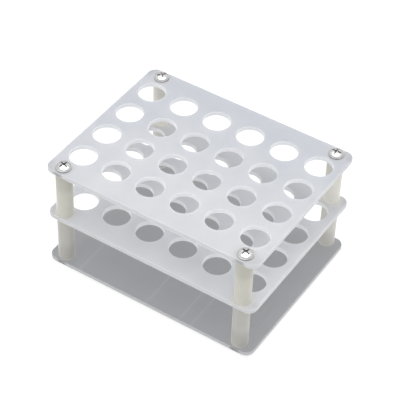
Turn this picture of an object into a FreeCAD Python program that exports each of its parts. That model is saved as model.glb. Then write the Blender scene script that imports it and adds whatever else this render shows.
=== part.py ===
import FreeCAD, Part
import math
import os

# Test tube rack: three plastic plates held apart by eight round posts and clamped by eight screws.
# Millimetres. +X runs along the six columns of holes, +Y along the four rows, +Z up.
# The origin is on the surface that the rack stands on, under the centre of the plates.

# ---- tube holes ----
HOLE_COLUMNS = 6
HOLE_ROWS = 4
HOLE_PITCH = 25.0
HOLE_DIAMETER = 18.0

# ---- plates ----
PLATE_LENGTH = 153.0
PLATE_WIDTH = 119.5
PLATE_THICKNESS = 3.0
PLATE_CORNER_RADIUS = 6.0
PLATE_EDGE_CHAMFER = 0.3
HOLE_EDGE_CHAMFER = 0.2

# ---- corner fixings ----
FIXING_SPACING_X = 131.5
FIXING_SPACING_Y = 107.0
FIXING_HOLE_DIAMETER = 5.3

# ---- posts ----
POST_DIAMETER = 10.8
POST_LENGTH = 35.0
POST_EDGE_RADIUS = 0.6
SCREW_HOLE_DEPTH = 15.0
STUD_HOLE_DEPTH = 11.0
STUD_LENGTH = 12.0
HOLE_MOUTH_CHAMFER = 0.3
DRILL_POINT_HEIGHT = 1.2

# ---- M5 thread, made as plain rings ----
THREAD_PITCH = 0.8
THREAD_DIAMETER = 5.0
THREAD_ROOT_DIAMETER = 4.1
THREAD_CREST_WIDTH = 0.1
THREAD_CLEARANCE = 0.05
THREAD_START = 1.0
THREAD_TIP_LENGTH = 0.8
THREAD_TIP_DIAMETER = 3.2

# ---- pan-head screws ----
SCREW_LENGTH = 16.0
HEAD_DIAMETER = 10.0
HEAD_HEIGHT = 3.0
HEAD_SIDE_HEIGHT = 0.8
RECESS_SPAN = 4.8
RECESS_WING_WIDTH = 1.3
RECESS_DEPTH = 2.3
RECESS_FLOOR_SPAN = 2.0
RECESS_CORE_DIAMETER = 2.7
RECESS_POINT_HEIGHT = 0.35

# How far the cutting tools reach past the faces that they cut.
OVERRUN = 1.0

# Heights of the layers above the standing surface. The rack stands on its lower screw heads.
BOTTOM_PLATE_Z = HEAD_HEIGHT
LOWER_POST_Z = BOTTOM_PLATE_Z + PLATE_THICKNESS
MIDDLE_PLATE_Z = LOWER_POST_Z + POST_LENGTH
UPPER_POST_Z = MIDDLE_PLATE_Z + PLATE_THICKNESS
TOP_PLATE_Z = UPPER_POST_Z + POST_LENGTH
TOP_FACE_Z = TOP_PLATE_Z + PLATE_THICKNESS

# Each corner's name, its side along X and Y, and how far round its two screws were left, in degrees.
CORNERS = [
    ("front_left", -1, -1, 38.0, 12.0),
    ("front_right", 1, -1, 72.0, 64.0),
    ("rear_left", -1, 1, 20.0, 81.0),
    ("rear_right", 1, 1, 55.0, 33.0),
]

UP = FreeCAD.Vector(0, 0, 1)
SIDEWAYS = FreeCAD.Vector(1, 0, 0)
ORIGIN = FreeCAD.Vector(0, 0, 0)


def turned(outline):
    """A solid turned about the Z axis from (radius, height) points and arcs, closed along the axis."""
    edges = []
    last = None
    for item in outline:
        if isinstance(item, Part.Edge):
            edges.append(item)
            last = item.Vertexes[-1].Point
            continue
        point = FreeCAD.Vector(item[0], 0, item[1])
        if last is not None:
            edges.append(Part.LineSegment(last, point).toShape())
        last = point
    edges.append(Part.LineSegment(last, edges[0].Vertexes[0].Point).toShape())
    return Part.Face(Part.Wire(edges)).revolve(ORIGIN, UP, 360)


def rounded(centre_radius, centre_height, radius, start, end):
    """A quarter-round edge for a turned part, from one direction about its centre to another."""
    points = []
    for degrees in (start, (start + end) / 2, end):
        turn = math.radians(degrees)
        across = centre_radius + radius * math.cos(turn)
        points.append(FreeCAD.Vector(across, 0, centre_height + radius * math.sin(turn)))
    return Part.Arc(*points).toShape()


def thread_rings(first, last, growth):
    """Points down the side of a thread: out to each crest and back, from depth first to depth last."""
    crest = THREAD_DIAMETER / 2 + growth
    root = THREAD_ROOT_DIAMETER / 2 + growth
    half_crest = THREAD_CREST_WIDTH / 2
    half_ring = (THREAD_PITCH - THREAD_CREST_WIDTH) / 2
    points = []
    depth = first
    while depth + THREAD_PITCH / 2 < last:
        points.append((root, half_ring - depth))
        points.append((crest, half_crest - depth))
        points.append((crest, -half_crest - depth))
        points.append((root, -half_ring - depth))
        depth += THREAD_PITCH
    return points


def rings_past_a_plate():
    """Depth of the first thread ring below the far face of a plate that the thread goes through."""
    rings_inside = math.ceil((PLATE_THICKNESS - THREAD_START) / THREAD_PITCH)
    return THREAD_START + rings_inside * THREAD_PITCH - PLATE_THICKNESS


def threaded_rod(length):
    """Points down a threaded rod that hangs from height zero, ending on the axis at its tip."""
    root = THREAD_ROOT_DIAMETER / 2
    points = [(root, 0)]
    points += thread_rings(THREAD_START, length - THREAD_TIP_LENGTH, 0)
    points.append((root, THREAD_TIP_LENGTH - length))
    points.append((THREAD_TIP_DIAMETER / 2, -length))
    points.append((0, -length))
    return points


def tapped_hole(depth):
    """Points down a tapped hole whose mouth is at height zero, ending on the axis at its floor."""
    root = THREAD_ROOT_DIAMETER / 2 + THREAD_CLEARANCE
    mouth = THREAD_DIAMETER / 2 + THREAD_CLEARANCE
    mouth_ring = rings_past_a_plate()
    half_ring = (THREAD_PITCH - THREAD_CREST_WIDTH) / 2
    points = [(mouth + HOLE_MOUTH_CHAMFER, 0), (mouth, -HOLE_MOUTH_CHAMFER)]
    points += [(mouth, -THREAD_CREST_WIDTH / 2 - mouth_ring), (root, -half_ring - mouth_ring)]
    points += thread_rings(mouth_ring + THREAD_PITCH, depth, THREAD_CLEARANCE)
    points.append((root, -depth))
    points.append((0, -depth - DRILL_POINT_HEIGHT))
    return points


def raised(points, height):
    return [(radius, z + height) for radius, z in points]


def upside_down(points):
    return [(radius, -z) for radius, z in reversed(points)]


def post_side():
    """The outside of a post from its lower face to its upper face, with both edges rounded."""
    inner = POST_DIAMETER / 2 - POST_EDGE_RADIUS
    lower = rounded(inner, POST_EDGE_RADIUS, POST_EDGE_RADIUS, -90, 0)
    upper = rounded(inner, POST_LENGTH - POST_EDGE_RADIUS, POST_EDGE_RADIUS, 0, 90)
    join = Part.LineSegment(lower.Vertexes[-1].Point, upper.Vertexes[0].Point).toShape()
    return (inner, 0), [lower, join, upper]


def upper_post():
    """Tapped at the top for a screw, with a stud below that passes through the middle plate."""
    foot_edge, side = post_side()
    stud = list(reversed(threaded_rod(STUD_LENGTH)))
    hole = raised(tapped_hole(SCREW_HOLE_DEPTH), POST_LENGTH)
    return turned(stud + [foot_edge] + side + hole)


def lower_post():
    """Tapped at the top for the upper post's stud and at the bottom for a screw."""
    foot_edge, side = post_side()
    screw_hole = upside_down(tapped_hole(SCREW_HOLE_DEPTH))
    stud_hole = raised(tapped_hole(STUD_HOLE_DEPTH), POST_LENGTH)
    return turned(screw_hole + [foot_edge] + side + stud_hole)


def cross_recess():
    """The driver's cross: two tapering wings and a pointed core, cut down from the crown."""
    depth_ends = (HEAD_HEIGHT + OVERRUN, HEAD_HEIGHT - RECESS_DEPTH)
    slope = (RECESS_SPAN - RECESS_FLOOR_SPAN) / (2 * RECESS_DEPTH)
    half_top = RECESS_SPAN / 2 + OVERRUN * slope
    half_floor = RECESS_FLOOR_SPAN / 2
    side = -RECESS_WING_WIDTH / 2
    corners = [(-half_top, depth_ends[0]), (half_top, depth_ends[0])]
    corners += [(half_floor, depth_ends[1]), (-half_floor, depth_ends[1])]
    points = [FreeCAD.Vector(x, side, z) for x, z in corners]
    wing = Part.Face(Part.makePolygon(points + points[:1])).extrude(FreeCAD.Vector(0, RECESS_WING_WIDTH, 0))
    other_wing = wing.copy()
    other_wing.rotate(ORIGIN, UP, 90)
    core_radius = RECESS_CORE_DIAMETER / 2
    core_tip = HEAD_HEIGHT - RECESS_DEPTH - RECESS_POINT_HEIGHT
    core = turned([(0, core_tip), (core_radius, HEAD_HEIGHT), (core_radius, HEAD_HEIGHT + OVERRUN),
                   (0, HEAD_HEIGHT + OVERRUN)])
    return wing.fuse([other_wing, core])


def pan_head_screw():
    """A cross-recess screw standing on its thread, with the head's bearing face at height zero."""
    radius = HEAD_DIAMETER / 2
    crown_round = HEAD_HEIGHT - HEAD_SIDE_HEIGHT
    shoulder = rounded(radius - crown_round, HEAD_SIDE_HEIGHT, crown_round, 0, 90)
    rod = list(reversed(threaded_rod(SCREW_LENGTH)))
    blank = turned(rod + [(radius, 0), (radius, HEAD_SIDE_HEIGHT), shoulder, (0, HEAD_HEIGHT)])
    return blank.cut(cross_recess())


def through_hole(position, diameter, chamfer):
    """A tool that cuts a hole through a plate at height zero and chamfers both of its edges."""
    radius = diameter / 2
    flare = radius + chamfer + OVERRUN
    outline = [(0, -OVERRUN), (flare, -OVERRUN), (radius, chamfer)]
    outline += [(radius, PLATE_THICKNESS - chamfer), (flare, PLATE_THICKNESS + OVERRUN)]
    outline.append((0, PLATE_THICKNESS + OVERRUN))
    tool = turned(outline)
    tool.translate(position)
    return tool


def tube_hole_positions():
    for column in range(HOLE_COLUMNS):
        for row in range(HOLE_ROWS):
            x = (column - (HOLE_COLUMNS - 1) / 2) * HOLE_PITCH
            y = (row - (HOLE_ROWS - 1) / 2) * HOLE_PITCH
            yield FreeCAD.Vector(x, y, 0)


def fixing_position(corner):
    side_x, side_y = corner[1:3]
    return FreeCAD.Vector(side_x * FIXING_SPACING_X / 2, side_y * FIXING_SPACING_Y / 2, 0)


def plate(has_tube_holes):
    """A plate at height zero with round corners, chamfered edges and its fixing holes."""
    corner = FreeCAD.Vector(-PLATE_LENGTH / 2, -PLATE_WIDTH / 2, 0)
    blank = Part.makeBox(PLATE_LENGTH, PLATE_WIDTH, PLATE_THICKNESS, corner)
    upright = [edge for edge in blank.Edges if abs(edge.tangentAt(0).z) > 0.5]
    blank = blank.makeFillet(PLATE_CORNER_RADIUS, upright)
    rims = [edge for edge in blank.Edges if edge.BoundBox.ZLength < PLATE_THICKNESS / 2]
    blank = blank.makeChamfer(PLATE_EDGE_CHAMFER, rims)
    tools = []
    for corner in CORNERS:
        tools.append(through_hole(fixing_position(corner), FIXING_HOLE_DIAMETER, HOLE_EDGE_CHAMFER))
    if has_tube_holes:
        for position in tube_hole_positions():
            tools.append(through_hole(position, HOLE_DIAMETER, HOLE_EDGE_CHAMFER))
    return blank.cut(tools)


def export(shape, node):
    solids = shape.Solids
    if len(solids) != 1 or not shape.isValid():
        raise RuntimeError(f"{node} is not one valid solid")
    solids[0].exportStep(f"parts/{node}.step")


def placed(shape, position, height, turn=0.0):
    copy = shape.copy()
    copy.rotate(ORIGIN, UP, turn)
    copy.translate(position + FreeCAD.Vector(0, 0, height))
    return copy


def main():
    os.makedirs("parts", exist_ok=True)
    drilled_plate = plate(has_tube_holes=True)
    export(placed(drilled_plate, ORIGIN, TOP_PLATE_Z), "top_plate")
    export(placed(drilled_plate, ORIGIN, MIDDLE_PLATE_Z), "middle_plate")
    export(placed(plate(has_tube_holes=False), ORIGIN, BOTTOM_PLATE_Z), "bottom_plate")

    stud_post = upper_post()
    plain_post = lower_post()
    screw = pan_head_screw()
    hanging_screw = screw.copy()
    hanging_screw.rotate(ORIGIN, SIDEWAYS, 180)
    for corner in CORNERS:
        name = corner[0]
        top_turn, bottom_turn = corner[3:]
        position = fixing_position(corner)
        export(placed(stud_post, position, UPPER_POST_Z), f"upper_post_{name}")
        export(placed(plain_post, position, LOWER_POST_Z), f"lower_post_{name}")
        export(placed(screw, position, TOP_FACE_Z, top_turn), f"top_screw_{name}")
        export(placed(hanging_screw, position, BOTTOM_PLATE_Z, bottom_turn), f"bottom_screw_{name}")


main()
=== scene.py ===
import math

import bmesh
import bpy
from mathutils import Matrix, Vector


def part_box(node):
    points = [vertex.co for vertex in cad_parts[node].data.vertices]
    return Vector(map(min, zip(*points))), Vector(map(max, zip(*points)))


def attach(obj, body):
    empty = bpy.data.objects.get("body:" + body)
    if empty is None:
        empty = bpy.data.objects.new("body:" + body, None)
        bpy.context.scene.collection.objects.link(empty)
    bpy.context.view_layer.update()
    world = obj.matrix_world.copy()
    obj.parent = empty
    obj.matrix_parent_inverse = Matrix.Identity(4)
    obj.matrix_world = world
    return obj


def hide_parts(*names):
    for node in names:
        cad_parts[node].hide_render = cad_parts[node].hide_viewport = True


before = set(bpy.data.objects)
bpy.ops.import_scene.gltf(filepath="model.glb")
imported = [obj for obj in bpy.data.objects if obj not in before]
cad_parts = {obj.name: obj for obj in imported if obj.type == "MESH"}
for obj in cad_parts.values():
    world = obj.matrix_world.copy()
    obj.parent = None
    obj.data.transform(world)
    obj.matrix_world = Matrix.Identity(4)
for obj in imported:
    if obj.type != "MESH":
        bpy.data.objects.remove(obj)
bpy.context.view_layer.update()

MM = 0.001

# ---- places and sizes read from the frame ----
CORNERS = ("front_left", "front_right", "rear_left", "rear_right")
TOP_LOW, TOP_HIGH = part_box("top_plate")
MIDDLE_LOW, MIDDLE_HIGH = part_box("middle_plate")
BOTTOM_LOW, BOTTOM_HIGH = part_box("bottom_plate")
PLATE_LENGTH = TOP_HIGH.x - TOP_LOW.x
PLATE_WIDTH = TOP_HIGH.y - TOP_LOW.y
PLATE_THICKNESS = TOP_HIGH.z - TOP_LOW.z
POST_LOW, POST_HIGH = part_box("lower_post_front_right")
POST_RADIUS = (POST_HIGH.x - POST_LOW.x) / 2
POST_LENGTH = POST_HIGH.z - POST_LOW.z
CORNER_X = abs(POST_HIGH.x + POST_LOW.x) / 2
CORNER_Y = abs(POST_HIGH.y + POST_LOW.y) / 2
STUD_LENGTH = MIDDLE_HIGH.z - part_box("upper_post_front_right")[0].z
SCREW_LOW, SCREW_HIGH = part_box("top_screw_front_right")
HEAD_RADIUS = (SCREW_HIGH.x - SCREW_LOW.x) / 2
HEAD_HEIGHT = SCREW_HIGH.z - TOP_HIGH.z
SCREW_LENGTH = TOP_HIGH.z - SCREW_LOW.z

# ---- plate sizes that the boxes don't give ----
PLATE_CORNER_RADIUS = 6.0 * MM
PLATE_EDGE_ROUND = 0.35 * MM
HOLE_COLUMNS = 6
HOLE_ROWS = 4
HOLE_PITCH = 25.0 * MM
HOLE_DIAMETER = 18.0 * MM
FIXING_HOLE_DIAMETER = 5.3 * MM
HOLE_EDGE_ROUND = 0.22 * MM
EDGE_ROUND_STEPS = 5
CORNER_STEPS = 12
TUBE_HOLE_SEGMENTS = 72
FIXING_HOLE_SEGMENTS = 40
WELD_DISTANCE = 0.01 * MM

# ---- post sizes ----
POST_EDGE_ROUND = 0.6 * MM
SCREW_HOLE_DEPTH = 15.0 * MM
STUD_HOLE_DEPTH = 11.0 * MM
DRILL_POINT_HEIGHT = 1.2 * MM
HOLE_MOUTH_CHAMFER = 0.3 * MM
POST_END_RING = 0.9
POST_SIDE_RINGS = (0.25, 0.5, 0.75)
POST_SEGMENTS = 48
POST_EDGE_STEPS = 6

# ---- thread sizes ----
THREAD_PITCH = 0.8 * MM
THREAD_DEPTH = 0.45 * MM
THREAD_ROOT_RADIUS = 2.05 * MM
THREAD_CLEARANCE = 0.05 * MM
THREAD_RUN_OUT = 0.8 * MM
THREAD_TIP_LENGTH = 0.8 * MM
THREAD_TIP_RADIUS = 1.6 * MM
ROWS_PER_PITCH = 8

# Where a thread's flank begins and ends, in pitches from the middle of its crest.
FLANK_TOP = 0.06
FLANK_FOOT = 0.38

# ---- screw head sizes ----
HEAD_SIDE_HEIGHT = 0.45 * MM
HEAD_FOOT_ROUND = 0.12 * MM
HEAD_FOOT_STEPS = 4
DOME_HEIGHT = HEAD_HEIGHT - HEAD_SIDE_HEIGHT
DOME_POWER = 2.35
DOME_STEPS = 18
SCREW_SEGMENTS = 56
RECESS_HALF_SPAN = 3.4 * MM
RECESS_FLOOR_HALF_SPAN = 1.0 * MM
RECESS_WING_HALF_WIDTH = 0.54 * MM
RECESS_CORE = 1.1 * MM
RECESS_FLOOR_CORE = 0.65 * MM
RECESS_DEPTH = 2.3 * MM
RECESS_POINT = 0.35 * MM
RECESS_LIP = 0.09 * MM

# Sharper bends than this are edges on the turned parts, in degrees.
SHARP_ANGLE = 32

# How far round each corner's two screws were left when they were tightened, in degrees.
TOP_TURNS = {"front_left": 74.0, "front_right": 71.0, "rear_left": 48.0, "rear_right": 2.0}
BOTTOM_TURNS = {"front_left": 12.0, "front_right": 64.0, "rear_left": 81.0, "rear_right": 33.0}


class Value:
    """One output of a node. Arithmetic on it adds Math nodes to its tree."""

    def __init__(self, graph, socket):
        self.graph = graph
        self.socket = socket

    def maths(self, operation, *others):
        return self.graph.maths(operation, self, *others)

    def __add__(self, other):
        return self.maths("ADD", other)

    def __sub__(self, other):
        return self.maths("SUBTRACT", other)

    def __mul__(self, other):
        return self.maths("MULTIPLY", other)

    def __truediv__(self, other):
        return self.maths("DIVIDE", other)

    def __gt__(self, other):
        return self.maths("GREATER_THAN", other)

    def __lt__(self, other):
        return self.maths("LESS_THAN", other)

    def __abs__(self):
        return self.maths("ABSOLUTE")

    def __rsub__(self, other):
        return self.graph.maths("SUBTRACT", other, self)

    __radd__ = __add__
    __rmul__ = __mul__

    def ramp(self, low, high, start=0.0, end=1.0, kind="SMOOTHSTEP"):
        """From start to end as this value goes from low to high, and level outside that."""
        sockets = {"Value": self, "From Min": low, "From Max": high, "To Min": start, "To Max": end}
        return self.graph.add("ShaderNodeMapRange", {"interpolation_type": kind}, sockets)


class Graph:
    """A node tree. Most nodes in it are added by one method."""

    def __init__(self, tree):
        self.tree = tree

    def add(self, kind, settings=None, sockets=None, output=0):
        """Adds a node, sets it up, fills or links its sockets, and returns one of its outputs."""
        node = self.tree.nodes.new(kind)
        for name, value in (settings or {}).items():
            setattr(node, name, value)
        for name, value in (sockets or {}).items():
            if isinstance(value, (list, tuple)) and isinstance(value[0], Value):
                for one in value:
                    self.tree.links.new(one.socket, node.inputs[name])
            elif isinstance(value, Value):
                self.tree.links.new(value.socket, node.inputs[name])
            else:
                node.inputs[name].default_value = value
        return Value(self, node.outputs[output]) if node.outputs else None

    def maths(self, operation, *values):
        return self.add("ShaderNodeMath", {"operation": operation}, dict(enumerate(values)))

    def parts(self, vector):
        """The X, Y and Z of a vector."""
        node = self.tree.nodes.new("ShaderNodeSeparateXYZ")
        self.tree.links.new(vector.socket, node.inputs[0])
        return [Value(self, socket) for socket in node.outputs]

    def mixed(self, amount, first, second):
        """A colour between two, by amount from 0 to 1. A Mix node's colour sockets are 6 and 7."""
        settings = {"data_type": "RGBA", "clamp_factor": True}
        return self.add("ShaderNodeMix", settings, {0: amount, 6: first, 7: second}, output=2)


# ---------------------------------------------------------------- geometry trees

def geometry_tree(name, inputs, build):
    """A Geometry Nodes tree with named inputs, whose last nodes realize it and set its material."""
    tree = bpy.data.node_groups.new(name, "GeometryNodeTree")
    tree.interface.new_socket("Geometry", in_out="OUTPUT", socket_type="NodeSocketGeometry")
    tree.interface.new_socket("Geometry", in_out="INPUT", socket_type="NodeSocketGeometry")
    for label, kind in inputs.items():
        tree.interface.new_socket(label, in_out="INPUT", socket_type="NodeSocket" + kind)
    tree.interface.new_socket("Material", in_out="INPUT", socket_type="NodeSocketMaterial")
    graph = Graph(tree)
    source = tree.nodes.new("NodeGroupInput")
    values = {socket.name: Value(graph, socket) for socket in source.outputs if socket.name}
    made = build(graph, values)
    real = graph.add("GeometryNodeRealizeInstances", sockets={"Geometry": made})
    coated = graph.add("GeometryNodeSetMaterial",
                       sockets={"Geometry": real, "Material": values["Material"]})
    graph.add("NodeGroupOutput", sockets={"Geometry": coated})
    return tree


def edge_profile(graph, size, thickness):
    """An open curve up the side of a plate, with a quarter-round of that size at each end."""
    steps = EDGE_ROUND_STEPS
    line = graph.add("GeometryNodeMeshLine", sockets={"Count": 2 * steps + 2})
    index = graph.add("GeometryNodeInputIndex")
    upper = index > steps + 0.5
    turn = ((index - upper * (steps + 1)) / steps + upper - 1) * (math.pi / 2)
    out = turn.maths("COSINE") * size
    height = turn.maths("SINE") * size + size + upper * (thickness - size * 2)
    place = graph.add("ShaderNodeCombineXYZ", sockets={"X": out, "Y": height * -1})
    bent = graph.add("GeometryNodeSetPosition", sockets={"Geometry": line, "Position": place})
    return graph.add("GeometryNodeMeshToCurve", sockets={"Mesh": bent})


def hole_grid(graph, columns, rows, spacing_x, spacing_y, radius, segments):
    """Circles on a grid, wound so that their outside is the plate."""
    grid_sockets = {"Size X": spacing_x * (columns - 1), "Size Y": spacing_y * (rows - 1)}
    grid_sockets |= {"Vertices X": columns, "Vertices Y": rows}
    grid = graph.add("GeometryNodeMeshGrid", sockets=grid_sockets)
    circle = graph.add("GeometryNodeCurvePrimitiveCircle", {"mode": "RADIUS"},
                       {"Resolution": segments, "Radius": radius})
    wound = graph.add("GeometryNodeReverseCurve", sockets={"Curve": circle})
    places = graph.add("GeometryNodeInstanceOnPoints", sockets={"Points": grid, "Instance": wound})
    return graph.add("GeometryNodeRealizeInstances", sockets={"Geometry": places})


def build_plate(graph, size):
    """A plate cut from sheet: two flat faces, and a rounded rim round the outline and each hole."""
    edge = size["Edge Round"]
    hole_edge = size["Hole Edge Round"]
    thickness = size["Thickness"]
    rectangle = graph.add("GeometryNodeCurvePrimitiveQuadrilateral", {"mode": "RECTANGLE"},
                          {"Width": size["Length"] - edge * 2, "Height": size["Width"] - edge * 2})
    outline = graph.add("GeometryNodeFilletCurve", {"mode": "POLY"},
                        {"Curve": rectangle, "Count": CORNER_STEPS,
                         "Radius": size["Corner Radius"] - edge})
    tube_holes = hole_grid(graph, size["Columns"], size["Rows"], size["Pitch"], size["Pitch"],
                           size["Hole Diameter"] / 2 + hole_edge, TUBE_HOLE_SEGMENTS)
    drilled = graph.add("GeometryNodeSwitch", {"input_type": "GEOMETRY"},
                        {"Switch": size["Has Tube Holes"], "True": tube_holes})
    fixings = hole_grid(graph, 2, 2, size["Fixing Spacing X"], size["Fixing Spacing Y"],
                        size["Fixing Diameter"] / 2 + hole_edge, FIXING_HOLE_SEGMENTS)
    holes = graph.add("GeometryNodeJoinGeometry", sockets={"Geometry": (drilled, fixings)})
    edges = graph.add("GeometryNodeJoinGeometry", sockets={"Geometry": (outline, holes)})
    face = graph.add("GeometryNodeFillCurve", {"mode": "TRIANGLES"}, {"Curve": edges})
    lifted = graph.add("ShaderNodeCombineXYZ", sockets={"Z": thickness})
    upper_face = graph.add("GeometryNodeTransform",
                           sockets={"Geometry": face, "Translation": lifted})
    lower_face = graph.add("GeometryNodeFlipFaces", sockets={"Mesh": face})
    flats = graph.add("GeometryNodeJoinGeometry", sockets={"Geometry": (upper_face, lower_face)})
    flats = graph.add("GeometryNodeSetShadeSmooth",
                      sockets={"Geometry": flats, "Shade Smooth": False})
    rims = []
    for path, rounding, in_hole in ((outline, edge, 0.0), (holes, hole_edge, 1.0)):
        upright = graph.add("GeometryNodeSetCurveNormal", {"mode": "Z_UP"}, {"Curve": path})
        profile = edge_profile(graph, rounding, thickness)
        rim = graph.add("GeometryNodeCurveToMesh",
                        sockets={"Curve": upright, "Profile Curve": profile})
        rim = graph.add("GeometryNodeFlipFaces", sockets={"Mesh": rim})
        rim = graph.add("GeometryNodeSetShadeSmooth",
                        sockets={"Geometry": rim, "Shade Smooth": True})
        rims.append(graph.add("GeometryNodeStoreNamedAttribute",
                              {"data_type": "FLOAT", "domain": "FACE"},
                              {"Geometry": rim, "Name": "in_hole", "Value": in_hole}))
    whole = graph.add("GeometryNodeJoinGeometry", sockets={"Geometry": (flats, *rims)})
    joined = graph.add("GeometryNodeMergeByDistance",
                       sockets={"Geometry": whole, "Distance": WELD_DISTANCE})
    base = graph.add("ShaderNodeCombineXYZ", sockets={"Z": size["Height"]})
    return graph.add("GeometryNodeTransform", sockets={"Geometry": joined, "Translation": base})


def build_thread(graph, size):
    """Raises a right-hand thread where the mesh is close to an upright axis: a rod or a hole."""
    place = graph.add("GeometryNodeInputPosition")
    x, y, z = graph.parts(place)
    across = x - size["Axis X"]
    along = y - size["Axis Y"]
    radius = (across * across + along * along).maths("SQRT")
    turn = along.maths("ARCTAN2", across) / (2 * math.pi)
    phase = (z / size["Pitch"] - turn).maths("FRACT")
    crest = abs(phase - 0.5).ramp(FLANK_TOP, FLANK_FOOT, 1.0, 0.0, "LINEAR")
    begun = z.ramp(size["Lower End"], size["Lower End"] + size["Run Out"])
    ending = z.ramp(size["Upper End"], size["Upper End"] - size["Run Out"])
    rise = crest * begun * ending * (radius < size["Widest"]) * size["Depth"]
    outwards = graph.add("ShaderNodeCombineXYZ",
                         sockets={"X": across / radius * rise, "Y": along / radius * rise})
    return graph.add("GeometryNodeSetPosition",
                     sockets={"Geometry": size["Geometry"], "Offset": outwards})


def shaped(name, mesh, stages):
    """An object of that mesh after its Geometry Nodes stages, as a plain mesh with no modifiers."""
    piece = bpy.data.objects.new(name, mesh)
    bpy.context.scene.collection.objects.link(piece)
    for tree, settings in stages:
        modifier = piece.modifiers.new(tree.name, "NODES")
        modifier.node_group = tree
        for item in tree.interface.items_tree:
            if item.in_out == "INPUT" and item.name in settings:
                modifier[item.identifier] = settings[item.name]
    depsgraph = bpy.context.evaluated_depsgraph_get()
    plain = bpy.data.meshes.new_from_object(piece.evaluated_get(depsgraph))
    piece.modifiers.clear()
    piece.data = plain
    plain.name = name
    for spare in reversed([slot for slot, used in enumerate(plain.materials) if not used]):
        plain.materials.pop(index=spare)
    return piece


# ---------------------------------------------------------------- turned parts

def arc(centre_radius, centre_height, size, start, end, steps):
    """Points round an arc of an outline, between two directions about its centre, in degrees."""
    points = []
    for step in range(steps + 1):
        turn = math.radians(start + (end - start) * step / steps)
        points.append((centre_radius + size * math.cos(turn),
                       centre_height + size * math.sin(turn)))
    return points


def rod_rows(radius, start, end):
    """Points up or down a smooth rod or hole, close enough together for a thread."""
    count = math.ceil(abs(end - start) / THREAD_PITCH * ROWS_PER_PITCH)
    return [(radius, start + (end - start) * row / count) for row in range(count + 1)]


def turned(outline, centre, segments):
    """A mesh turned about an upright axis from an outline of (radius, height) points."""
    solid = bmesh.new()
    rings = []
    for radius, height in outline:
        if radius == 0:
            rings.append([solid.verts.new((centre.x, centre.y, height))])
            continue
        ring = []
        for segment in range(segments):
            angle = 2 * math.pi * segment / segments
            across = radius * math.cos(angle)
            along = radius * math.sin(angle)
            ring.append(solid.verts.new((centre.x + across, centre.y + along, height)))
        rings.append(ring)
    for lower, upper in zip(rings, rings[1:]):
        for segment in range(segments):
            after = (segment + 1) % segments
            corners = [lower[segment % len(lower)], lower[after % len(lower)]]
            corners += [upper[after % len(upper)], upper[segment % len(upper)]]
            solid.faces.new(dict.fromkeys(corners))
    bmesh.ops.recalc_face_normals(solid, faces=solid.faces)
    mesh = bpy.data.meshes.new("turned")
    solid.to_mesh(mesh)
    solid.free()
    return mesh


def tapped_hole(mouth, depth, downwards):
    """Outline of a tapped hole from its mouth to the point that the drill left."""
    way = -1 if downwards else 1
    root = THREAD_ROOT_RADIUS + THREAD_CLEARANCE
    wide = root + THREAD_DEPTH + HOLE_MOUTH_CHAMFER
    points = [(wide, mouth), (root, mouth + way * (wide - root))]
    points += rod_rows(root, mouth + way * (wide - root), mouth + way * depth)[1:]
    return points + [(0, mouth + way * (depth + DRILL_POINT_HEIGHT))]


def post_outline(low, foot, head):
    """Outline of a post: what is in its foot, its rounded side, and what is in its head."""
    inner = POST_RADIUS - POST_EDGE_ROUND
    high = low + POST_LENGTH
    side = [(inner * POST_END_RING, low)]
    side += arc(inner, low + POST_EDGE_ROUND, POST_EDGE_ROUND, -90, 0, POST_EDGE_STEPS)
    side += [(POST_RADIUS, low + POST_LENGTH * share) for share in POST_SIDE_RINGS]
    side += arc(inner, high - POST_EDGE_ROUND, POST_EDGE_ROUND, 0, 90, POST_EDGE_STEPS)
    side += [(inner * POST_END_RING, high)]
    return foot + side + head


def thread(centre, lower_end, upper_end, material):
    """The settings of one thread on a corner's axis."""
    return {"Pitch": THREAD_PITCH, "Depth": THREAD_DEPTH, "Axis X": centre.x, "Axis Y": centre.y,
            "Lower End": lower_end, "Upper End": upper_end, "Run Out": THREAD_RUN_OUT,
            "Widest": THREAD_ROOT_RADIUS + THREAD_CLEARANCE * 2, "Material": material}


def smooth_by_angle(piece):
    piece.data.shade_smooth()
    piece.data.set_sharp_from_angle(angle=math.radians(SHARP_ANGLE))


def finished(piece, node):
    """Gives a piece its place in the frame, in front of the node that it stands for."""
    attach(piece, "root")
    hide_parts(node)
    return piece


# ---------------------------------------------------------------- materials

# Painted shade where a screw shows through a sawn edge.
SCREW_SEEN_THROUGH = (0.12, 0.12, 0.11, 1.0)
SCUFF_AND_REFLECTION_COLOUR = (0.6, 0.62, 0.65, 1.0)

# Painted reflections: light lines along the bottom plate's width: their places, their breadth and
# where they fade in.
REFLECTED_LINES = (-51.6 * MM, -0.4 * MM, 24.7 * MM, 33.4 * MM)
REFLECTED_LINE_CORE = 0.2 * MM
REFLECTED_LINE_REACH = 1.2 * MM
REFLECTED_LINES_BEGIN = -14 * MM
REFLECTED_LINES_FULL = -36 * MM
REFLECTED_LINE_STRENGTH = 0.075

# How far the painted glow of a post and the painted shade of a screw showing through spread
# in the sheet, from the corner's axis.
POST_TINT_FULL = POST_RADIUS - 0.4 * MM
POST_TINT_REACH = POST_RADIUS + 3.6 * MM
SCREW_TINT_FULL = 6.3 * MM
SCREW_TINT_REACH = 7.6 * MM

# How fine the marks and the grain are, in features per metre.
SHEET_CLOUDS = 38.0
SHEET_GRAIN = 2600.0
SHEET_SCUFFS = 900.0
CUTTER_LINES = 3200.0
NYLON_CLOUDS = 160.0
LATHE_LINES = 5200.0
PLATING_GRAIN = 5200.0
PLATING_PATCHES = 420.0


def grey(level, blue=0.0):
    """A grey, or a bluish one."""
    return (level, level * (1 + blue * 0.3), level * (1 + blue), 1.0)


def material_graph(name):
    material = bpy.data.materials.new(name)
    material.use_nodes = True
    material.node_tree.nodes.clear()
    return material, Graph(material.node_tree)


def surface(graph, sockets):
    shader = graph.add("ShaderNodeBsdfPrincipled", sockets=sockets)
    graph.add("ShaderNodeOutputMaterial", sockets={"Surface": shader})


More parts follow.
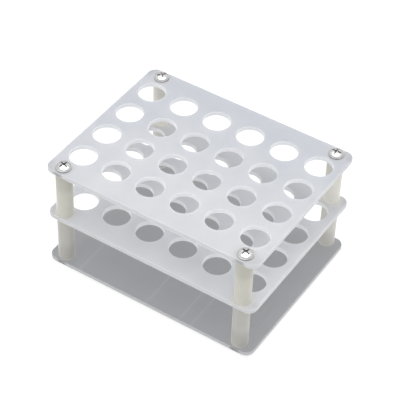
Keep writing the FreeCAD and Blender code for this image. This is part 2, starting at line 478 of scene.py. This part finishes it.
def noise(graph, place, scale, detail=2.0, roughness=0.5):
    """Noise from 0 to 1. Scale is in features per metre."""
    sockets = {"Vector": place, "Scale": scale, "Detail": detail, "Roughness": roughness}
    return graph.add("ShaderNodeTexNoise", {"noise_dimensions": "3D"}, sockets)


def from_corner_axis(graph, place):
    """How far a point is from the nearest corner's axis."""
    x, y = graph.parts(place)[:2]
    across = abs(x) - CORNER_X
    along = abs(y) - CORNER_Y
    return (across * across + along * along).maths("SQRT")


def stretched(graph, place, scale):
    sockets = {"Vector": place, "Scale": scale}
    return graph.add("ShaderNodeMapping", {"vector_type": "POINT"}, sockets)


def frosted_sheet(name, clear, rear, front, sawn, bored, inner_light, edge_light, bore_light,
                  by_post, screw_shows, reflected_lines=()):
    """Frosted polypropylene sheet: matt grain and faint clouds on its faces, and lined cut edges.

    Its faces, sawn edges and bored holes are given a painted glow, as if the sheet spread light
    inside itself and gave a little out. Its faces carry painted light, lighter to the front and
    darker and bluer to the rear, and painted shade towards their outer corners; any lines given
    are painted reflections along the width. Round the corners it carries a painted glow where the
    posts' ends touch its faces, and painted shade where the screws show through its sawn edges.
    """
    material, graph = material_graph(name)
    place = graph.add("ShaderNodeTexCoord", output="Object")
    facing = graph.parts(graph.add("ShaderNodeTexCoord", output="Normal"))[2]
    is_cut = abs(facing).ramp(0.95, 0.5)
    in_hole = graph.add("ShaderNodeAttribute", {"attribute_name": "in_hole"}, output="Fac")
    from_axis = from_corner_axis(graph, place)
    near_post = from_axis.ramp(POST_TINT_REACH, POST_TINT_FULL)
    by_screw = from_axis.ramp(SCREW_TINT_REACH, SCREW_TINT_FULL) * is_cut * (1 - in_hole)
    clouds = noise(graph, place, SHEET_CLOUDS, 3.0, 0.55)
    grain = noise(graph, place, SHEET_GRAIN, 2.0, 0.6)
    scuffs = noise(graph, stretched(graph, place, (1.0, 0.03, 1.0)), SHEET_SCUFFS, 1.0)
    scuffed = scuffs.ramp(0.66, 0.74) * clouds.ramp(0.5, 0.62)
    cutter_lines = noise(graph, stretched(graph, place, (1.0, 1.0, 0.04)), CUTTER_LINES, 2.0)
    x, y = graph.parts(place)[:2]
    # Painted light: the faces are lighter towards the front and darker and bluer towards the rear
    # and the left end, with random clouds mixed in.
    paler = y.ramp(PLATE_WIDTH * 0.5, -PLATE_WIDTH * 0.25, kind="LINEAR") \
        * x.ramp(-PLATE_LENGTH * 0.5, -PLATE_LENGTH * 0.15, 0.5, 1.0)
    colour = graph.mixed(paler * 0.85 + (clouds - 0.5) * 1.1, rear, front)
    # Real scuffs, and light lines painted along the width as painted reflections.
    scuffs_and_reflected_lines = scuffed * 0.12
    for line in reflected_lines:
        reflected_line = abs(x - line).ramp(REFLECTED_LINE_REACH, REFLECTED_LINE_CORE) * y.ramp(REFLECTED_LINES_BEGIN, REFLECTED_LINES_FULL)
        scuffs_and_reflected_lines = scuffs_and_reflected_lines + reflected_line * REFLECTED_LINE_STRENGTH
    colour = graph.mixed(scuffs_and_reflected_lines, colour, SCUFF_AND_REFLECTION_COLOUR)
    # Painted shade: the faces darken towards the sheet's outer corners.
    outward = (abs(x) - CORNER_X) / (PLATE_LENGTH / 2 - CORNER_X) \
        + (abs(y) - CORNER_Y) / (PLATE_WIDTH / 2 - CORNER_Y)
    colour = graph.mixed(outward.ramp(0.0, 1.0) * 0.19, colour, grey(0.08))
    # Painted glow of a post's end in the sheet, round the corner's axis.
    colour = graph.mixed(near_post * 0.7, colour, by_post)
    # Painted shade on the sawn edges where the screws show through, with the glow taken out there.
    screw_seen = by_screw * screw_shows
    cut_tone = graph.mixed(in_hole, sawn, bored)
    cut_tone = graph.mixed(cutter_lines.ramp(0.3, 0.7) * 0.15, cut_tone, rear)
    cut_tone = graph.mixed(screw_seen, cut_tone, SCREW_SEEN_THROUGH)
    colour = graph.mixed(is_cut, colour, cut_tone)
    # Painted glow: the faces, sawn edges and bored holes give out light of their own.
    cut_light = graph.mixed(in_hole, edge_light, bore_light)
    cut_light = graph.mixed(screw_seen, cut_light, grey(0.0))
    light = graph.mixed(is_cut, inner_light, cut_light)
    roughness = 0.5 + grain * 0.05 - scuffed * 0.06 + is_cut * (cutter_lines * 0.1 - 0.05)
    bump = graph.add("ShaderNodeBump",
                     sockets={"Strength": 0.1, "Distance": 0.03 * MM,
                              "Height": grain * (1 - is_cut)})
    surface(graph, {"Base Color": colour, "Roughness": roughness, "Normal": bump,
                    "IOR": 1.49, "Transmission Weight": clear,
                    "Subsurface Weight": 1.0, "Subsurface Scale": 3 * MM,
                    "Subsurface Radius": (1.0, 1.0, 1.0),
                    "Sheen Weight": 0.1, "Sheen Roughness": 0.4,
                    "Emission Color": light, "Emission Strength": 1.0})
    return material


def natural_nylon(name, body, shaded, front_light, rear_light, foot, metal_low, metal_high):
    """Natural nylon rod, painted greyer as painted shade between the two heights where steel would
    show dimly through it.

    The rod is given a painted glow, as if it spread light inside itself and gave a little out:
    the rear posts more than the front ones, and more again close to its foot.
    """
    material, graph = material_graph(name)
    place = graph.add("ShaderNodeTexCoord", output="Object")
    y, height = graph.parts(place)[1:]
    # Painted shade: greyer where the steel inside would show through.
    over_steel = height.ramp(metal_low - 4 * MM, metal_low + 4 * MM) \
        * height.ramp(metal_high + 4 * MM, metal_high - 4 * MM)
    clouds = noise(graph, place, NYLON_CLOUDS, 3.0, 0.6)
    lathe_lines = noise(graph, stretched(graph, place, (0.02, 0.02, 1.0)), LATHE_LINES, 2.0)
    colour = graph.mixed(clouds.ramp(0.35, 0.65) * 0.1 + over_steel * 0.3, body, shaded)
    # Painted glow: more on the rear posts than the front ones, less over the steel and more close
    # to the foot.
    light = graph.mixed(y.ramp(-0.3 * PLATE_WIDTH, 0.3 * PLATE_WIDTH), front_light, rear_light)
    light = graph.mixed(over_steel * 0.15, light, grey(0.0))
    by_foot = height.ramp(foot + 1.6 * MM, foot + 0.3 * MM)
    light = graph.mixed(by_foot * 0.5, light, grey(0.42))
    roughness = 0.36 + lathe_lines * 0.1
    bump = graph.add("ShaderNodeBump",
                     sockets={"Strength": 0.15, "Distance": 0.05 * MM, "Height": lathe_lines})
    surface(graph, {"Base Color": colour, "Roughness": roughness, "Normal": bump,
                    "IOR": 1.53, "Transmission Weight": 0.2,
                    "Subsurface Weight": 0.8, "Subsurface Scale": 4 * MM,
                    "Subsurface Radius": (1.0, 0.95, 0.85),
                    "Sheen Weight": 0.8, "Sheen Roughness": 0.25,
                    "Emission Color": light, "Emission Strength": 1.0})
    return material


def nickel_plate(name):
    """Bright nickel on a press-formed steel screw, dull in the cross, with painted shade in the
    cross and round the head's foot, and a painted highlight low in the cross.
    """
    material, graph = material_graph(name)
    place = graph.add("ShaderNodeTexCoord", output="Object")
    rack_middle = (TOP_HIGH.z + BOTTOM_LOW.z) / 2
    below_crown = rack_middle - abs(graph.parts(place)[2] - rack_middle)
    from_axis = from_corner_axis(graph, place)
    flat = (1 - (from_axis / HEAD_RADIUS).maths("POWER", DOME_POWER)).maths("MAXIMUM", 0.0)
    dome_fall = (1 - flat.maths("POWER", 1 / DOME_POWER)) * DOME_HEIGHT
    in_cross = (from_axis < RECESS_HALF_SPAN + 0.1 * MM) \
        * (below_crown - dome_fall).ramp(0.08 * MM, 0.3 * MM)
    at_foot = (from_axis > HEAD_RADIUS - 0.4 * MM) \
        * below_crown.ramp(HEAD_HEIGHT - 0.6 * MM, HEAD_HEIGHT - 0.4 * MM)
    fine = noise(graph, place, PLATING_GRAIN, 3.0, 0.6)
    patches = noise(graph, place, PLATING_PATCHES, 2.0)
    colour = graph.mixed(patches.ramp(0.4, 0.65), grey(0.84), grey(0.72))
    # Painted shade in the cross: dark near the crown, and lighter deeper down as a painted
    # highlight on its floor.
    cross_shade = graph.mixed(below_crown.ramp(0.9 * MM, 1.8 * MM), grey(0.24), grey(0.5))
    colour = graph.mixed(in_cross, colour, cross_shade)
    # Painted shade: a dark ring round the foot of the head's side.
    colour = graph.mixed(at_foot, colour, grey(0.3))
    roughness = 0.12 + patches.ramp(0.35, 0.7) * 0.1 + fine * 0.06 + in_cross * 0.3 + at_foot * 0.2
    bump = graph.add("ShaderNodeBump",
                     sockets={"Strength": 0.1, "Distance": 0.03 * MM, "Height": fine})
    surface(graph, {"Base Color": colour, "Roughness": roughness, "Normal": bump, "Metallic": 1.0})
    return material


# ---------------------------------------------------------------- plates

def make_plate(name, has_tube_holes, tree, material):
    """One plate, at the height that its node has."""
    settings = {"Length": PLATE_LENGTH, "Width": PLATE_WIDTH, "Thickness": PLATE_THICKNESS,
                "Height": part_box(name)[0].z, "Corner Radius": PLATE_CORNER_RADIUS,
                "Edge Round": PLATE_EDGE_ROUND, "Has Tube Holes": has_tube_holes,
                "Columns": HOLE_COLUMNS, "Rows": HOLE_ROWS, "Pitch": HOLE_PITCH,
                "Hole Diameter": HOLE_DIAMETER, "Hole Edge Round": HOLE_EDGE_ROUND,
                "Fixing Spacing X": 2 * CORNER_X, "Fixing Spacing Y": 2 * CORNER_Y,
                "Fixing Diameter": FIXING_HOLE_DIAMETER, "Material": material}
    piece = shaped("frosted_" + name, bpy.data.meshes.new("blank"), [(tree, settings)])
    return finished(piece, name)


# ---------------------------------------------------------------- posts

def corner_centre(corner):
    low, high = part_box("lower_post_" + corner)
    return (low + high) / 2


def make_lower_post(corner, tree, material):
    """A plain post, tapped at both ends."""
    centre = corner_centre(corner)
    low = BOTTOM_HIGH.z
    high = MIDDLE_LOW.z
    foot = list(reversed(tapped_hole(low, SCREW_HOLE_DEPTH, downwards=False)))
    outline = post_outline(low, foot, tapped_hole(high, STUD_HOLE_DEPTH, downwards=True))
    threads = [(tree, thread(centre, low, low + SCREW_HOLE_DEPTH, material)),
               (tree, thread(centre, high - STUD_HOLE_DEPTH, high, material))]
    piece = shaped("nylon_lower_post_" + corner, turned(outline, centre, POST_SEGMENTS), threads)
    smooth_by_angle(piece)
    return finished(piece, "lower_post_" + corner)


def make_upper_post(corner, tree, material):
    """A post with a tapped head and a threaded stud below its foot."""
    centre = corner_centre(corner)
    low = MIDDLE_HIGH.z
    tip = low - STUD_LENGTH
    stud = [(0, tip), (THREAD_TIP_RADIUS, tip)]
    stud += rod_rows(THREAD_ROOT_RADIUS, tip + THREAD_TIP_LENGTH, low)
    outline = post_outline(low, stud, tapped_hole(TOP_LOW.z, SCREW_HOLE_DEPTH, downwards=True))
    threads = [(tree, thread(centre, tip, low, material)),
               (tree, thread(centre, TOP_LOW.z - SCREW_HOLE_DEPTH, TOP_LOW.z, material))]
    piece = shaped("nylon_upper_post_" + corner, turned(outline, centre, POST_SEGMENTS), threads)
    smooth_by_angle(piece)
    return finished(piece, "upper_post_" + corner)


# ---------------------------------------------------------------- screws

def recess_loop(solid, span, core, height, grow=0.0):
    """One level of the cross that a driver fits, as a loop of sixteen corners."""
    wing = RECESS_WING_HALF_WIDTH + grow
    quarter = [(span + grow, -wing), (span + grow, wing), (core + grow, wing), (wing, core + grow)]
    loop = []
    for turn in range(4):
        spin = Matrix.Rotation(math.pi / 2 * turn, 3, "Z")
        loop += [solid.verts.new(spin @ Vector((x, y, height))) for x, y in quarter]
    return loop


def recess_cutter(crown):
    """The solid that leaves the driver's cross when it is taken out of a crown at that height."""
    solid = bmesh.new()
    loops = [recess_loop(solid, RECESS_HALF_SPAN, RECESS_CORE, crown + RECESS_LIP, 2 * RECESS_LIP),
             recess_loop(solid, RECESS_HALF_SPAN, RECESS_CORE, crown - RECESS_LIP),
             recess_loop(solid, RECESS_FLOOR_HALF_SPAN, RECESS_FLOOR_CORE, crown - RECESS_DEPTH)]
    solid.faces.new(loops[0])
    for upper, lower in zip(loops, loops[1:]):
        for corner in range(len(upper)):
            after = (corner + 1) % len(upper)
            solid.faces.new((upper[corner], upper[after], lower[after], lower[corner]))
    point = solid.verts.new((0, 0, crown - RECESS_DEPTH - RECESS_POINT))
    for corner in range(len(loops[2])):
        solid.faces.new((loops[2][corner], loops[2][(corner + 1) % len(loops[2])], point))
    bmesh.ops.recalc_face_normals(solid, faces=solid.faces)
    mesh = bpy.data.meshes.new("recess_cutter")
    solid.to_mesh(mesh)
    solid.free()
    return mesh


def dome(steps):
    """Points up a pan head's crown, from its side to just short of its middle."""
    turns = [math.pi / 2 * step / steps for step in range(steps)]
    return [(HEAD_RADIUS * math.cos(turn) ** (2 / DOME_POWER),
             HEAD_SIDE_HEIGHT + DOME_HEIGHT * math.sin(turn) ** (2 / DOME_POWER)) for turn in turns]


def screw_blank():
    """A pan-head screw with no thread yet, its bearing face at height zero and its head above."""
    outline = [(0, -SCREW_LENGTH), (THREAD_TIP_RADIUS, -SCREW_LENGTH)]
    outline += rod_rows(THREAD_ROOT_RADIUS, THREAD_TIP_LENGTH - SCREW_LENGTH, 0)
    outline += arc(HEAD_RADIUS - HEAD_FOOT_ROUND, HEAD_FOOT_ROUND, HEAD_FOOT_ROUND, -90, 0,
                   HEAD_FOOT_STEPS)
    outline += dome(DOME_STEPS) + [(0, HEAD_HEIGHT)]
    head = bpy.data.objects.new("blank", turned(outline, Vector((0, 0, 0)), SCREW_SEGMENTS))
    cutter = bpy.data.objects.new("cutter", recess_cutter(HEAD_HEIGHT))
    for blank in (head, cutter):
        bpy.context.scene.collection.objects.link(blank)
    cut = head.modifiers.new("recess", "BOOLEAN")
    cut.operation = "DIFFERENCE"
    cut.solver = "EXACT"
    cut.object = cutter
    depsgraph = bpy.context.evaluated_depsgraph_get()
    mesh = bpy.data.meshes.new_from_object(head.evaluated_get(depsgraph))
    for blank in (head, cutter):
        bpy.data.objects.remove(blank)
    return mesh


def make_screw(name, blank, centre, bearing, flip, turn, tree, material):
    """A screw on a corner's axis, head up or flipped, with its thread cut once it is in place."""
    mesh = blank.copy()
    spin = Matrix.Rotation(math.radians(turn), 4, "Z")
    if flip:
        spin = spin @ Matrix.Rotation(math.pi, 4, "X")
    mesh.transform(Matrix.Translation((centre.x, centre.y, bearing)) @ spin)
    ends = (bearing, bearing + SCREW_LENGTH) if flip else (bearing - SCREW_LENGTH, bearing)
    piece = shaped("plated_" + name, mesh, [(tree, thread(centre, *ends, material))])
    smooth_by_angle(piece)
    return finished(piece, name)


# ---------------------------------------------------------------- build

FLOAT = "Float"
PLATE_INPUTS = dict.fromkeys(("Length", "Width", "Thickness", "Height", "Corner Radius",
                              "Edge Round"), FLOAT)
PLATE_INPUTS |= {"Has Tube Holes": "Bool", "Columns": "Int", "Rows": "Int"}
PLATE_INPUTS |= dict.fromkeys(("Pitch", "Hole Diameter", "Hole Edge Round", "Fixing Spacing X",
                               "Fixing Spacing Y", "Fixing Diameter"), FLOAT)
THREAD_INPUTS = dict.fromkeys(("Pitch", "Depth", "Axis X", "Axis Y", "Lower End", "Upper End",
                               "Run Out", "Widest"), FLOAT)


def build_rack():
    plate_tree = geometry_tree("plate_with_holes", PLATE_INPUTS, build_plate)
    thread_tree = geometry_tree("cut_thread", THREAD_INPUTS, build_thread)
    # The three sheets are one plastic in lit and shaded copies: each sheet's tones and glow are
    # painted to the light that reaches it, and the bottom sheet is painted dark grey as painted
    # shade.
    top = frosted_sheet(
        "frosted_top_sheet", clear=0.15, rear=grey(0.43, 0.12), front=grey(0.535, 0.035),
        sawn=grey(0.32, 0.04), bored=grey(0.45, 0.04), inner_light=grey(0.06, 0.1),
        edge_light=grey(0.29, 0.03), bore_light=grey(0.345, 0.03), by_post=grey(0.47, 0.0),
        screw_shows=0.45)
    middle = frosted_sheet(
        "frosted_middle_sheet", clear=0.15, rear=grey(0.52, 0.05), front=grey(0.62, 0.04),
        sawn=grey(0.32, 0.03), bored=grey(0.45, 0.03), inner_light=grey(0.075, 0.08),
        edge_light=grey(0.26, 0.03), bore_light=grey(0.3, 0.03), by_post=grey(0.64, -0.1),
        screw_shows=0.0)
    bottom = frosted_sheet(
        "frosted_bottom_sheet", clear=0.15, rear=grey(0.13, 0.06), front=grey(0.133, 0.05),
        sawn=grey(0.26, 0.03), bored=grey(0.3, 0.03), inner_light=grey(0.213, 0.06),
        edge_light=grey(0.23, 0.03), bore_light=grey(0.14, 0.03), by_post=grey(0.15, -0.05),
        screw_shows=0.55, reflected_lines=REFLECTED_LINES)
    make_plate("top_plate", has_tube_holes=True, tree=plate_tree, material=top)
    make_plate("middle_plate", has_tube_holes=True, tree=plate_tree, material=middle)
    make_plate("bottom_plate", has_tube_holes=False, tree=plate_tree, material=bottom)
    # The upper and lower posts are one nylon in lit and shaded copies: the lower posts are painted
    # darker as painted shade, and each has its own painted glow.
    lower_nylon = natural_nylon(
        "natural_nylon_lower", body=(0.27, 0.264, 0.248, 1.0), shaded=(0.18, 0.178, 0.163, 1.0),
        front_light=(0.19, 0.186, 0.173, 1.0), rear_light=(0.29, 0.286, 0.27, 1.0),
        foot=BOTTOM_HIGH.z, metal_low=BOTTOM_HIGH.z - 5 * MM, metal_high=BOTTOM_HIGH.z + 13 * MM)
    upper_nylon = natural_nylon(
        "natural_nylon_upper", body=(0.36, 0.352, 0.313, 1.0), shaded=(0.22, 0.218, 0.19, 1.0),
        front_light=(0.21, 0.206, 0.184, 1.0), rear_light=(0.31, 0.306, 0.287, 1.0),
        foot=MIDDLE_HIGH.z, metal_low=TOP_LOW.z - 13 * MM, metal_high=TOP_LOW.z + 5 * MM)
    nickel = nickel_plate("bright_nickel_plate")
    blank = screw_blank()
    for corner in CORNERS:
        centre = corner_centre(corner)
        make_lower_post(corner, thread_tree, lower_nylon)
        make_upper_post(corner, thread_tree, upper_nylon)
        make_screw("top_screw_" + corner, blank, centre, bearing=TOP_HIGH.z, flip=False,
                   turn=TOP_TURNS[corner], tree=thread_tree, material=nickel)
        make_screw("bottom_screw_" + corner, blank, centre, bearing=BOTTOM_LOW.z, flip=True,
                   turn=BOTTOM_TURNS[corner], tree=thread_tree, material=nickel)


# ---------------------------------------------------------------- studio

# The view's turn from the front, its rise and its roll, in radians.
VIEW_TURN = 0.5507
VIEW_RISE = 0.7559
VIEW_ROLL = 0.0401
VIEW_DISTANCE = 39.1101 * HOLE_PITCH
VIEW_ASIDE = -0.0272 * HOLE_PITCH
VIEW_BELOW = -0.9664 * HOLE_PITCH
LENS = 142.317
SENSOR = 36.0

FLOOR_HALF = 4.0
LIT_POINT = Vector((0, 0, 0.04))

# The upward part of the direction in which the walls have become the ceiling.
WALL_TOP = 0.6


def add_camera():
    """A long lens, looking down on the front right corner of the rack."""
    back = Vector((math.sin(VIEW_TURN) * math.cos(VIEW_RISE),
                   -math.cos(VIEW_TURN) * math.cos(VIEW_RISE), math.sin(VIEW_RISE)))
    level = Vector((math.cos(VIEW_TURN), math.sin(VIEW_TURN), 0.0))
    upright = level.cross(-back)
    right = math.cos(VIEW_ROLL) * level + math.sin(VIEW_ROLL) * upright
    up = math.cos(VIEW_ROLL) * upright - math.sin(VIEW_ROLL) * level
    place = Vector((0, 0, TOP_HIGH.z)) + back * VIEW_DISTANCE
    place += right * VIEW_ASIDE + up * VIEW_BELOW
    data = bpy.data.cameras.new("camera")
    data.sensor_width = SENSOR
    data.lens = LENS
    camera = bpy.data.objects.new("camera", data)
    facing = Matrix((right, up, back)).transposed().to_4x4()
    camera.matrix_world = Matrix.Translation(place) @ facing
    bpy.context.scene.collection.objects.link(camera)
    bpy.context.scene.camera = camera


def add_floor():
    mesh = bpy.data.meshes.new("floor")
    corners = [(-FLOOR_HALF, -FLOOR_HALF, 0), (FLOOR_HALF, -FLOOR_HALF, 0),
               (FLOOR_HALF, FLOOR_HALF, 0), (-FLOOR_HALF, FLOOR_HALF, 0)]
    mesh.from_pydata(corners, [], [(0, 1, 2, 3)])
    floor = bpy.data.objects.new("floor", mesh)
    material, graph = material_graph("pale_floor")
    surface(graph, {"Base Color": grey(0.3), "Roughness": 0.9, "Specular IOR Level": 0.1,
                    "Emission Color": grey(1.0), "Emission Strength": 0.8})
    mesh.materials.append(material)
    bpy.context.scene.collection.objects.link(floor)


def add_soft_light(name, place, size, power):
    """A square soft box that faces the middle of the rack. Its power is in watts."""
    data = bpy.data.lights.new(name, "AREA")
    data.size = size
    data.energy = power
    light = bpy.data.objects.new(name, data)
    light.location = place
    light.rotation_euler = (LIT_POINT - Vector(place)).to_track_quat("-Z", "Y").to_euler()
    bpy.context.scene.collection.objects.link(light)


def add_white_room(ceiling, walls):
    """Light from all round: a bright ceiling, and walls that are dimmer towards the floor."""
    world = bpy.data.worlds.new("white_room")
    world.use_nodes = True
    world.node_tree.nodes.clear()
    graph = Graph(world.node_tree)
    height = graph.parts(graph.add("ShaderNodeTexCoord", output="Generated"))[2]
    strength = height.ramp(0.0, WALL_TOP, walls, ceiling)
    background = graph.add("ShaderNodeBackground",
                           sockets={"Color": (1.0, 1.0, 1.0, 1.0), "Strength": strength})
    graph.add("ShaderNodeOutputWorld", sockets={"Surface": background})
    bpy.context.scene.world = world


build_rack()
add_floor()
add_white_room(ceiling=0.8, walls=0.42)
add_soft_light("overhead", place=(0.0, 0.0, 1.1), size=1.1, power=10.0)
add_camera()
bpy.context.scene.view_settings.view_transform = "Standard"
